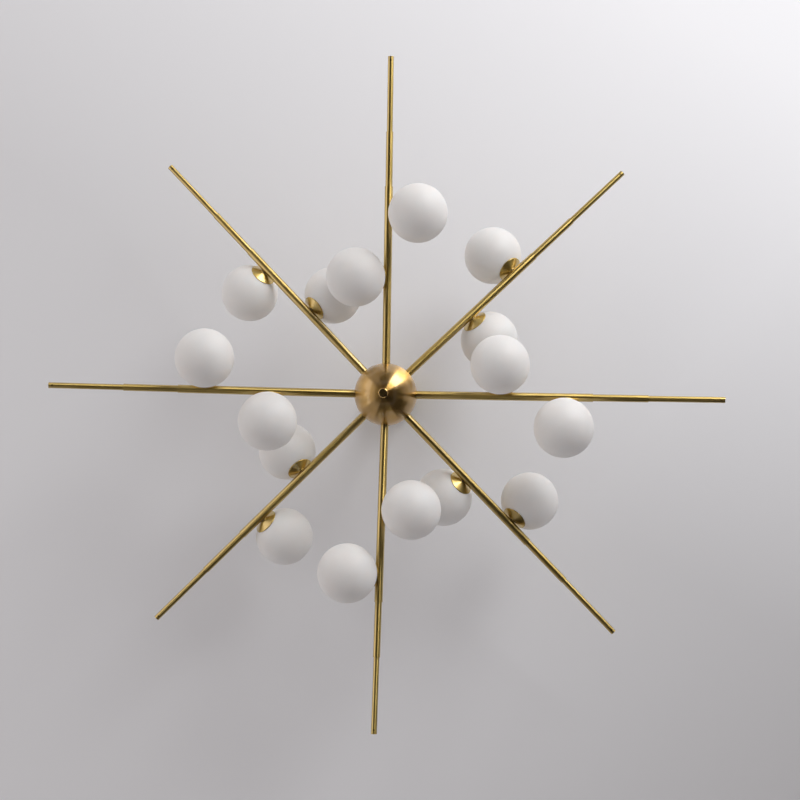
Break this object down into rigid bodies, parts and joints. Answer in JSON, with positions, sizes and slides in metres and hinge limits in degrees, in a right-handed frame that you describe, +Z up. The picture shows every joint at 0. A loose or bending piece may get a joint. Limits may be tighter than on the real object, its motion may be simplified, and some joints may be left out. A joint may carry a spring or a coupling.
{
  "type": "chandelier",
  "caption": "Starburst ceiling chandelier: stepped brass tube arms tilt alternately up and down from a ball hub, carrying satin opal glass globes on conical cups below a stem and canopy",
  "frame": {"origin": "centre of the ceiling plate's upper face, on the ceiling plane and midway between its two screw holes", "axes": "+Z up to the ceiling; +X along a down-tilted arm and along the line of the ceiling screws; seen from below, +X is to the right and +Y towards the bottom of the picture"},
  "size_m": [1.1378, 1.1378, 0.3497],
  "materials": {
    "satin_brass": "satin, brushed along tubes and round turned pieces",
    "opal_glass": "satin etched opal white",
    "white_ceramic": "unglazed white ceramic",
    "lamp_glass": "frosted capsule",
    "white_plastic": "matt moulded",
    "zinc_steel": "zinc plated",
    "dark_steel": "blackened",
    "cast_alloy": "as cast and machined"
  },
  "bodies": {
    "ceiling": {"ceiling_plate": "zinc_steel", "terminal_block": "white_plastic"},
    "star": {"stem": "satin_brass", "stem_top_nut": "zinc_steel", "stem_collar": "satin_brass", "hub_core": "cast_alloy", "hub_shell_upper": "satin_brass", "hub_rod": "zinc_steel", "arm_lock_nuts": "zinc_steel", "end_plugs": "satin_brass", "end_pins": "dark_steel", "globe_cups": "satin_brass", "globe_nipples": "zinc_steel", "lamp_holders": "white_ceramic", "lamps": "lamp_glass", "arm_1_base_tube": "satin_brass", "arm_1_middle_tube": "satin_brass", "arm_1_tip_tube": "satin_brass", "arm_2_base_tube": "satin_brass", "arm_2_middle_tube": "satin_brass", "arm_2_tip_tube": "satin_brass", "arm_3_base_tube": "satin_brass", "arm_3_middle_tube": "satin_brass", "arm_3_tip_tube": "satin_brass", "arm_4_base_tube": "satin_brass", "arm_4_middle_tube": "satin_brass", "arm_4_tip_tube": "satin_brass", "arm_5_base_tube": "satin_brass", "arm_5_middle_tube": "satin_brass", "arm_5_tip_tube": "satin_brass", "arm_6_base_tube": "satin_brass", "arm_6_middle_tube": "satin_brass", "arm_6_tip_tube": "satin_brass", "arm_7_base_tube": "satin_brass", "arm_7_middle_tube": "satin_brass", "arm_7_tip_tube": "satin_brass", "arm_8_base_tube": "satin_brass", "arm_8_middle_tube": "satin_brass", "arm_8_tip_tube": "satin_brass"},
    "canopy": {"canopy": "satin_brass", "canopy_ring": "satin_brass", "canopy_ring_screw": "dark_steel"},
    "hub_cover": {"hub_shell_lower": "satin_brass"},
    "finial": {"finial": "satin_brass"},
    "globe_1_inner": {"globe_1_inner": "opal_glass"},
    "globe_1_outer": {"globe_1_outer": "opal_glass"},
    "globe_2_inner": {"globe_2_inner": "opal_glass"},
    "globe_2_outer": {"globe_2_outer": "opal_glass"},
    "globe_3_inner": {"globe_3_inner": "opal_glass"},
    "globe_3_outer": {"globe_3_outer": "opal_glass"},
    "globe_4_inner": {"globe_4_inner": "opal_glass"},
    "globe_4_outer": {"globe_4_outer": "opal_glass"},
    "globe_5_inner": {"globe_5_inner": "opal_glass"},
    "globe_5_outer": {"globe_5_outer": "opal_glass"},
    "globe_6_inner": {"globe_6_inner": "opal_glass"},
    "globe_6_outer": {"globe_6_outer": "opal_glass"},
    "globe_7_inner": {"globe_7_inner": "opal_glass"},
    "globe_7_outer": {"globe_7_outer": "opal_glass"},
    "globe_8_inner": {"globe_8_inner": "opal_glass"},
    "globe_8_outer": {"globe_8_outer": "opal_glass"}
  },
  "joints": [
    {"name": "stem_turn", "type": "hinge", "parent": "ceiling", "child": "star", "pos_m": [0, 0, -0.01], "axis": [0, 0, 1], "range_deg": [-170, 170]},
    {"name": "canopy_drop", "type": "slide", "parent": "star", "child": "canopy", "axis": [0, 0, -1], "range_m": [0, 0.1]},
    {"name": "hub_cover_drop", "type": "slide", "parent": "star", "child": "hub_cover", "axis": [0, 0, -1], "range_m": [0, 0.06]},
    {"name": "finial_turn", "type": "hinge", "parent": "hub_cover", "child": "finial", "pos_m": [0, 0, -0.287], "axis": [0, 0, -1], "range_deg": [0, 1440]},
    {"name": "globe_1_inner_turn", "type": "hinge", "parent": "star", "child": "globe_1_inner", "pos_m": [0.19546, -0.05196, -0.28564], "axis": [-0.0644, -0.866, -0.4958], "range_deg": [0, 540]},
    {"name": "globe_1_outer_turn", "type": "hinge", "parent": "star", "child": "globe_1_outer", "pos_m": [0.30355, 0.05196, -0.29968], "axis": [-0.0644, 0.866, -0.4958], "range_deg": [0, 540]},
    {"name": "globe_2_inner_turn", "type": "hinge", "parent": "star", "child": "globe_2_inner", "pos_m": [0.10147, 0.17495, -0.17436], "axis": [-0.6579, 0.5668, 0.4958], "range_deg": [0, 540]},
    {"name": "globe_2_outer_turn", "type": "hinge", "parent": "star", "child": "globe_2_outer", "pos_m": [0.25139, 0.1779, -0.16032], "axis": [0.5668, -0.6579, 0.4958], "range_deg": [0, 540]},
    {"name": "globe_3_inner_turn", "type": "hinge", "parent": "star", "child": "globe_3_inner", "pos_m": [0.05196, 0.19546, -0.28564], "axis": [0.866, -0.0644, -0.4958], "range_deg": [0, 540]},
    {"name": "globe_3_outer_turn", "type": "hinge", "parent": "star", "child": "globe_3_outer", "pos_m": [-0.05196, 0.30355, -0.29968], "axis": [-0.866, -0.0644, -0.4958], "range_deg": [0, 540]},
    {"name": "globe_4_inner_turn", "type": "hinge", "parent": "star", "child": "globe_4_inner", "pos_m": [-0.17495, 0.10147, -0.17436], "axis": [-0.5668, -0.6579, 0.4958], "range_deg": [0, 540]},
    {"name": "globe_4_outer_turn", "type": "hinge", "parent": "star", "child": "globe_4_outer", "pos_m": [-0.1779, 0.25139, -0.16032], "axis": [0.6579, 0.5668, 0.4958], "range_deg": [0, 540]},
    {"name": "globe_5_inner_turn", "type": "hinge", "parent": "star", "child": "globe_5_inner", "pos_m": [-0.19546, 0.05196, -0.28564], "axis": [0.0644, 0.866, -0.4958], "range_deg": [0, 540]},
    {"name": "globe_5_outer_turn", "type": "hinge", "parent": "star", "child": "globe_5_outer", "pos_m": [-0.30355, -0.05196, -0.29968], "axis": [0.0644, -0.866, -0.4958], "range_deg": [0, 540]},
    {"name": "globe_6_inner_turn", "type": "hinge", "parent": "star", "child": "globe_6_inner", "pos_m": [-0.10147, -0.17495, -0.17436], "axis": [0.6579, -0.5668, 0.4958], "range_deg": [0, 540]},
    {"name": "globe_6_outer_turn", "type": "hinge", "parent": "star", "child": "globe_6_outer", "pos_m": [-0.25139, -0.1779, -0.16032], "axis": [-0.5668, 0.6579, 0.4958], "range_deg": [0, 540]},
    {"name": "globe_7_inner_turn", "type": "hinge", "parent": "star", "child": "globe_7_inner", "pos_m": [-0.05196, -0.19546, -0.28564], "axis": [-0.866, 0.0644, -0.4958], "range_deg": [0, 540]},
    {"name": "globe_7_outer_turn", "type": "hinge", "parent": "star", "child": "globe_7_outer", "pos_m": [0.05196, -0.30355, -0.29968], "axis": [0.866, 0.0644, -0.4958], "range_deg": [0, 540]},
    {"name": "globe_8_inner_turn", "type": "hinge", "parent": "star", "child": "globe_8_inner", "pos_m": [0.17495, -0.10147, -0.17436], "axis": [0.5668, 0.6579, 0.4958], "range_deg": [0, 540]},
    {"name": "globe_8_outer_turn", "type": "hinge", "parent": "star", "child": "globe_8_outer", "pos_m": [0.1779, -0.25139, -0.16032], "axis": [-0.6579, -0.5668, 0.4958], "range_deg": [0, 540]}
  ]
}
